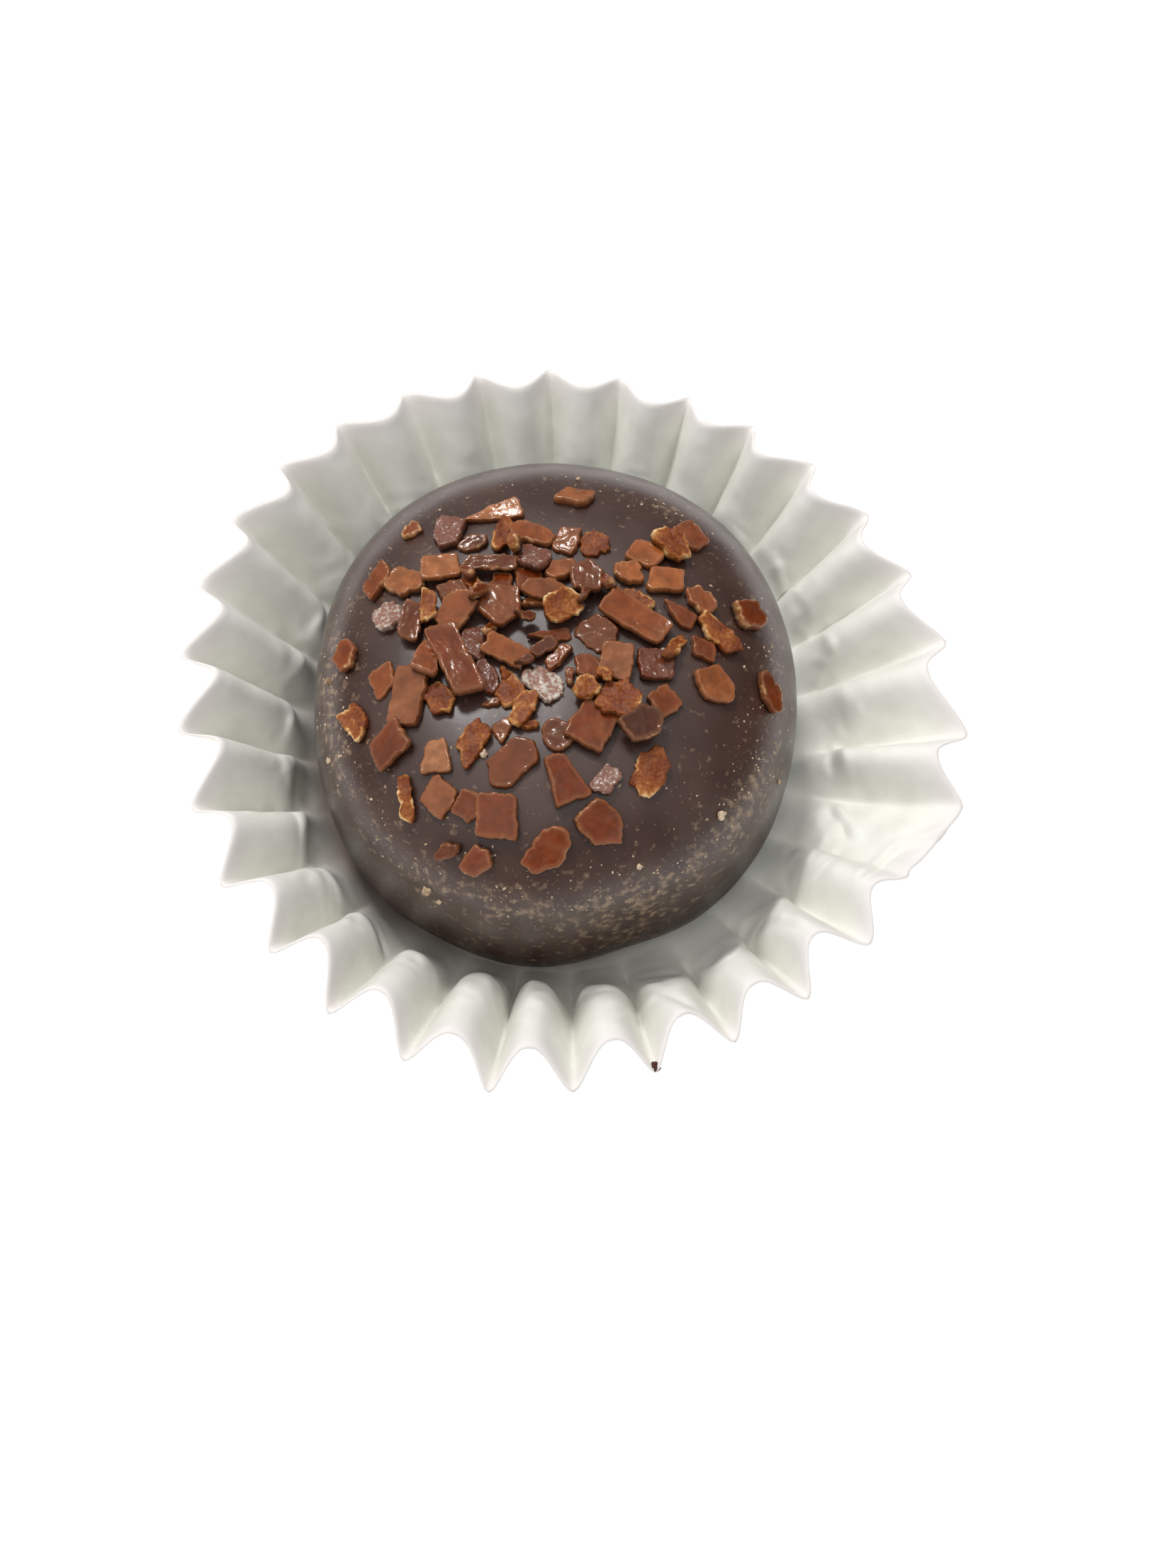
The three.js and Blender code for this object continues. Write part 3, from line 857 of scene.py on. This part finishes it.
def break_flake(mesh, layers, rng, spec):
    """Break one chip from the sheet and lay it on the pile."""
    finish, right, back, long, wide, turn, outline, tone, blush, crumb = spec
    swing = math.radians(turn)
    seed = Vector((right, back, tone)) * 3
    ring = break_outline(mesh, chip_corners(rng, outline, long, wide, swing), seed, crumb)
    x = truffle_centre.x + right * MM
    y = truffle_centre.y + back * MM
    thick = flake_thickness * rng.uniform(0.8, 1.25)
    sunk = rng.uniform(least_sunk, most_sunk)
    rest, lean_x, lean_y = settle(x, y, [vert.co.copy() for vert in ring], thick, sunk)
    edge = raise_chip(mesh, ring, thick, seed, crumb)
    bend = rng.uniform(-0.03, 0.042) / MM
    from_middle = (Vector((right, back)) - pile_middle).length_squared
    loose = 0.12 + 0.2 * math.exp(-from_middle / 24) * (long < longest_loose)
    lean_x += rng.uniform(-loose, loose)
    lean_y += rng.uniform(-loose, loose)
    for vert, rim in edge.items():
        broken = noise.noise(vert.co.normalized() * 1.3 + seed) + 0.12
        vert[layers["tone"]] = tone + 0.12 * noise.noise(vert.co / (1.1 * MM) + seed)
        vert[layers["blush"]] = blush
        vert[layers["crumb"]] = rim * (0.2 + 0.8 * crumb) * min(1, max(0, broken * 2.5))
        vert[layers["rim"]] = rim
        vert[layers["sugar"]] = crumb
        vert[layers["foot"]] = max(0, 1 - vert.co.z / (0.75 * thick))
        curl = bend * (vert.co.x * math.cos(swing) + vert.co.y * math.sin(swing)) ** 2
        lumpy = noise.noise(vert.co / (0.7 * MM) - seed) + 0.7 * noise.noise(vert.co / (0.28 * MM) + seed)
        up = vert.co.z + curl + face_relief[finish] * lumpy * min(1, vert.co.z / (0.5 * thick))
        vert.co = Vector((
            x + vert.co.x - lean_x * up,
            y + vert.co.y - lean_y * up,
            rest + lean_x * vert.co.x + lean_y * vert.co.y + up,
        ))


def finish_mesh(name, mesh):
    """Turn a made mesh into a piece that moves with the truffle."""
    bmesh.ops.recalc_face_normals(mesh, faces=mesh.faces)
    data = bpy.data.meshes.new(name)
    mesh.to_mesh(data)
    mesh.free()
    data.shade_smooth()
    piece = bpy.data.objects.new(name, data)
    bpy.context.scene.collection.objects.link(piece)
    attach(piece, "root")
    return piece


kept_values = ("tone", "blush", "crumb", "rim", "sugar", "foot")
flake_meshes = {finish: bmesh.new() for finish in face_relief}
flake_layers = {
    finish: {value: mesh.verts.layers.float.new(value) for value in kept_values}
    for finish, mesh in flake_meshes.items()
}
flake_rng = random.Random(7)
for flake in flakes:
    break_flake(flake_meshes[flake[0]], flake_layers[flake[0]], flake_rng, flake)
plain_flakes = finish_mesh("crunch_flakes_plain", flake_meshes["plain"])

# Painted shade: the foot of each chip is painted near-black, darker than the chocolate itself. It is
# partly chocolate that has crept up the chip and partly the shade beneath it.
chocolate_and_shade_foot, given, result = new_effect("chocolate_and_shade_foot", (("Finish", "Color"),), (("Finish", "Color"),))
foot_chocolate_and_shade = (0.012, 0.004, 0.002, 1)
footed = blend_colour(chocolate_and_shade_foot, attribute(chocolate_and_shade_foot, "foot"), given["Finish"], foot_chocolate_and_shade)
chocolate_and_shade_foot.links.new(footed, result["Finish"])


def darken_chip_foot(tree, finish):
    """Darken the foot of every chip: partly the chocolate that has crept up it, partly painted shade
    beneath the chip.
    """
    node = use_effect(tree, chocolate_and_shade_foot)
    tree.links.new(finish, node.inputs["Finish"])
    return node.outputs["Finish"]


browned = (0.07, 0.014, 0.002, 1)
worn_rim = (0.34, 0.14, 0.06, 1)
golden_inside = (0.28, 0.09, 0.025, 1)
pale_inside = (0.7, 0.42, 0.19, 1)
pale_speck = (0.7, 0.5, 0.36, 1)
caramel, tree, shader = new_finish("baked_caramel_wafer", 0.34, 0.2)
shader.inputs["Specular Tint"].default_value = (1, 0.7, 0.45, 1)
shader.inputs["Coat Weight"].default_value = 0.5
shader.inputs["Coat Roughness"].default_value = 0.1
tone = attribute(tree, "tone")
orange_bake = colour_ramp(
    tree,
    tone,
    (0.1, (0.045, 0.006, 0.001, 1)),
    (0.45, (0.18, 0.027, 0.0012, 1)),
    (0.9, (0.42, 0.125, 0.028, 1)),
)
pink_bake = colour_ramp(
    tree,
    tone,
    (0.1, (0.045, 0.008, 0.002, 1)),
    (0.45, (0.165, 0.039, 0.01, 1)),
    (0.9, (0.39, 0.16, 0.07, 1)),
)
blush = attribute(tree, "blush")
bake = blend_colour(tree, blush, orange_bake, pink_bake)
bake = blend_colour(tree, patch_mask(tree, 1300, 4, 0.35, 0.65, 0.05, 0.5), bake, browned)
rim_share = combine(tree, "MULTIPLY", attribute(tree, "rim"), stretch(tree, blush, 0.0, 0.8, 0.5, 0.12))
bake = blend_colour(tree, rim_share, bake, worn_rim)
crisp = use_effect(tree, fine_grain, Fineness=3600, Detail=3, Strength=0.5, Depth=0.04 * MM)
fleck = crisp.outputs["Grain"]
crumbs = stretch(tree, combine(tree, "ADD", fleck, attribute(tree, "crumb")), 0.9, 1.25)
bake = blend_colour(tree, crumbs, bake, blend_colour(tree, fleck, golden_inside, pale_inside))
bake = blend_colour(tree, patch_mask(tree, 2900, 1, 0.78, 0.83), bake, pale_speck)
tree.links.new(darken_chip_foot(tree, bake), shader.inputs["Base Color"])
tree.links.new(stretch(tree, fleck, 0.3, 0.7, 0.26, 0.42), shader.inputs["Roughness"])
tree.links.new(crisp.outputs["Normal"], shader.inputs["Normal"])
tree.links.new(crisp.outputs["Normal"], shader.inputs["Coat Normal"])
plain_flakes.data.materials.append(caramel)


# ---------------------------------------------------------------- sugared flakes
# Some of the wafer chips carry sugar that melted and set again on them: a crust of fine
# white crystals, thin and glassy on most, thick on one near the middle.

dark_wafer = (0.12, 0.024, 0.006, 1)
light_wafer = (0.28, 0.14, 0.1, 1)
set_sugar = (0.56, 0.5, 0.43, 1)
sugared_flakes = finish_mesh("crunch_flakes_sugared", flake_meshes["sugared"])
sugared, tree, shader = new_finish("sugared_wafer", 0.2, 0.5)
wafer = colour_ramp(tree, attribute(tree, "tone"), (0.3, dark_wafer), (0.9, light_wafer))
crystals = use_effect(tree, fine_grain, Fineness=4200, Detail=2, Strength=0.8, Depth=0.07 * MM)
sugar = combine(tree, "MULTIPLY", attribute(tree, "sugar"), 0.3)
sugar = combine(tree, "ADD", sugar, combine(tree, "MULTIPLY", fine_noise(tree, 1500, 2), 0.4))
sugar = stretch(tree, combine(tree, "ADD", sugar, crystals.outputs["Grain"]), 0.93, 1.16)
crusted = darken_chip_foot(tree, blend_colour(tree, sugar, wafer, set_sugar))
tree.links.new(crusted, shader.inputs["Base Color"])
tree.links.new(crystals.outputs["Normal"], shader.inputs["Normal"])
sugared_flakes.data.materials.append(sugared)


# ---------------------------------------------------------------- golden wafer crumbs
# Broken sides and sticks of the wafer show its crisp golden inside, which is ragged and
# full of small holes.

golden_flakes = finish_mesh("crunch_crumbs_golden", flake_meshes["golden"])
golden_crumb, tree, shader = new_finish("golden_wafer_inside", 0.5, 0.3)
pores = use_effect(tree, fine_grain, Fineness=5200, Detail=3, Strength=0.8, Depth=0.08 * MM)
crust = combine(tree, "MULTIPLY", attribute(tree, "crumb"), 0.5)
crust = combine(tree, "ADD", crust, combine(tree, "MULTIPLY", attribute(tree, "tone"), 0.3))
crust = combine(tree, "ADD", crust, combine(tree, "MULTIPLY", fine_noise(tree, 800, 2), 0.7))
crust = combine(tree, "ADD", crust, combine(tree, "MULTIPLY", pores.outputs["Grain"], 0.6))
ragged_inside = colour_ramp(
    tree,
    stretch(tree, crust, 0.6, 1.35),
    (0.1, (0.14, 0.026, 0.003, 1)),
    (0.4, (0.26, 0.07, 0.01, 1)),
    (0.7, (0.48, 0.21, 0.06, 1)),
    (0.95, (0.75, 0.5, 0.24, 1)),
)
tree.links.new(darken_chip_foot(tree, ragged_inside), shader.inputs["Base Color"])
tree.links.new(pores.outputs["Normal"], shader.inputs["Normal"])
golden_flakes.data.materials.append(golden_crumb)


# ---------------------------------------------------------------- wafer dust
# Crumbs as fine as dust have fallen on the chocolate and stuck. They are pale gold, a
# tenth of a millimetre across, and lie thickest round the shoulder. A few are larger, and
# one dark one lies on a tip of the paper.

grains = 1700
stray_share = 0.03
smallest_grain = 0.022 * MM
grain_spread = 0.07 * MM
dark_crumb_radius = 0.3 * MM
dark_crumb_turn = 14.0
dark_crumb_climb = 0.97
# right, back, radius, in mm from the middle of the truffle
larger_crumbs = (
    (-4.0, -7.6, 0.24),
    (-14.1, -1.3, 0.2),
    (10.3, -10.4, 0.27),
    (-7.6, -14.4, 0.3),
    (-6.9, -14.9, 0.17),
    (-13.9, -6.2, 0.16),
    (5.3, -13.6, 0.15),
    (14.2, -7.0, 0.14),
    (1.6, 12.5, 0.12),
)
dust_mesh = bmesh.new()
toasted = dust_mesh.verts.layers.float.new("toasted")
dust_rng = random.Random(11)


def add_crumb(spot, radius, dark):
    """An uneven crumb lying on a spot."""
    for vert in bmesh.ops.create_icosphere(dust_mesh, subdivisions=3, radius=radius)["verts"]:
        lumpy = 1 + 0.7 * noise.noise(vert.co / (0.7 * radius) + spot / MM)
        vert.co = spot + vert.co * lumpy + Vector((0, 0, 0.4 * radius))
        vert[toasted] = dark


def add_grain(spot, facing):
    """A grain of dust, longer than it is wide, flat on the skin and turned any way."""
    size = smallest_grain + grain_spread * dust_rng.random() ** 6
    grain = bmesh.ops.create_icosphere(dust_mesh, subdivisions=1, radius=size)["verts"]
    longer = dust_rng.uniform(0.7, 1.9)
    turned = Matrix.Rotation(dust_rng.uniform(0, math.pi), 3, "Z")
    tilt = facing.to_track_quat("Z", "Y").to_matrix()
    for vert in grain:
        flat = Vector((vert.co.x * longer, vert.co.y, vert.co.z * 0.6))
        vert.co = spot + tilt @ (turned @ flat)


for right, back, radius in larger_crumbs:
    above = Vector((right, back, 30)) * MM + Vector((truffle_centre.x, truffle_centre.y, 0))
    add_crumb(chocolate_surface.ray_cast(above, Vector((0, 0, -1)))[0], radius * MM, 0)
add_crumb(press(dark_crumb_turn, dark_crumb_climb), dark_crumb_radius, 1)
grain_count = 0
while grain_count < grains:
    angle = dust_rng.uniform(-math.pi, math.pi)
    r = truffle_radius * 0.985 * math.sqrt(dust_rng.random())
    x = truffle_centre.x + r * math.cos(angle) * truffle_outline(angle)
    y = truffle_centre.y + r * math.sin(angle) * truffle_outline(angle)
    spot, facing, face, drop = chocolate_surface.ray_cast(Vector((x, y, 30 * MM)), Vector((0, 0, -1)))
    if dust_rng.random() <= stray_share + dustiness(spot):
        add_grain(spot, facing)
        grain_count += 1
wafer_dust = finish_mesh("wafer_dust_grains", dust_mesh)
fallen_dust = (0.3, 0.19, 0.1, 1)
pale_dust = (0.62, 0.48, 0.34, 1)
toasted_crumb = (0.06, 0.008, 0.003, 1)
dust_finish, tree, shader = new_finish("pale_wafer_dust", 0.7, 0.5)
pale = colour_ramp(tree, fine_noise(tree, 900, 2), (0.35, fallen_dust), (0.65, pale_dust))
pale = blend_colour(tree, attribute(tree, "toasted"), pale, toasted_crumb)
tree.links.new(pale, shader.inputs["Base Color"])
wafer_dust.data.materials.append(dust_finish)


# ---------------------------------------------------------------- floor, light and camera
# The floor is plain white. A broad soft light comes from overhead and behind, a weaker one
# from low in front with a dim patch in its middle, and a small window from behind on the left.

floor_half = 3.0  # metres
floor_mesh = bmesh.new()
bmesh.ops.create_grid(floor_mesh, x_segments=1, y_segments=1, size=floor_half)
floor_data = bpy.data.meshes.new("floor")
floor_mesh.to_mesh(floor_data)
floor_mesh.free()
floor = bpy.data.objects.new("floor", floor_data)
bpy.context.scene.collection.objects.link(floor)
white, tree, shader = new_finish("white_table", 0.9, 0.5)
shader.inputs["Base Color"].default_value = (0.92, 0.92, 0.92, 1)
shader.inputs["Emission Color"].default_value = (1, 1, 1, 1)
shader.inputs["Emission Strength"].default_value = 0.44
floor_data.materials.append(white)

world = bpy.data.worlds.new("studio")
bpy.context.scene.world = world
world.use_nodes = True
studio = world.node_tree
background = studio.nodes["Background"]
background.inputs["Color"].default_value = (1, 1, 1, 1)
way = studio.nodes.new("ShaderNodeTexCoord")


def glow(middle, near, far, away, close):
    """A brightness that changes with how close a direction lies to a given one."""
    toward = studio.nodes.new("ShaderNodeVectorMath")
    toward.operation = "DOT_PRODUCT"
    toward.inputs[1].default_value = middle
    studio.links.new(way.outputs["Generated"], toward.inputs[0])
    shaded = studio.nodes.new("ShaderNodeMapRange")
    shaded.interpolation_type = "SMOOTHSTEP"
    shaded.inputs["From Min"].default_value = far
    shaded.inputs["From Max"].default_value = near
    shaded.inputs["To Min"].default_value = away
    shaded.inputs["To Max"].default_value = close
    studio.links.new(toward.outputs["Value"], shaded.inputs["Value"])
    return shaded.outputs["Result"]


behind = glow((-0.22, 0.28, 0.93), 0.95, 0.35, 0.12, 1.04)
front = glow((0.0, -0.94, 0.34), 0.75, 0.1, 0, 0.92)
dim_patch = glow((0, -0.8, 0.6), 0.92, 0.6, 1.0, 0.3)
light_round = combine(studio, "ADD", behind, combine(studio, "MULTIPLY", front, dim_patch))
studio.links.new(light_round, background.inputs["Strength"])

window_data = bpy.data.lights.new("window", "AREA")
window_data.size = 0.12
window_data.energy = 2.4
window = bpy.data.objects.new("window", window_data)
window.location = (-0.15, 0.31, 0.64)
window.rotation_euler = (-window.location).to_track_quat("-Z", "Y").to_euler()
bpy.context.scene.collection.objects.link(window)

camera_aim = Vector((1.49, -3.48, 0)) * MM
camera_distance = 120 * MM
camera_elevation = math.radians(67)
camera_data = bpy.data.cameras.new("camera")
camera_data.lens = 39.8
camera_data.clip_start = 0.005
camera = bpy.data.objects.new("camera", camera_data)
camera.location = camera_aim + camera_distance * Vector(
    (0, -math.cos(camera_elevation), math.sin(camera_elevation))
)
camera.rotation_euler = (math.pi / 2 - camera_elevation, 0, 0)
bpy.context.scene.collection.objects.link(camera)
bpy.context.scene.camera = camera
bpy.context.scene.view_settings.view_transform = "Standard"
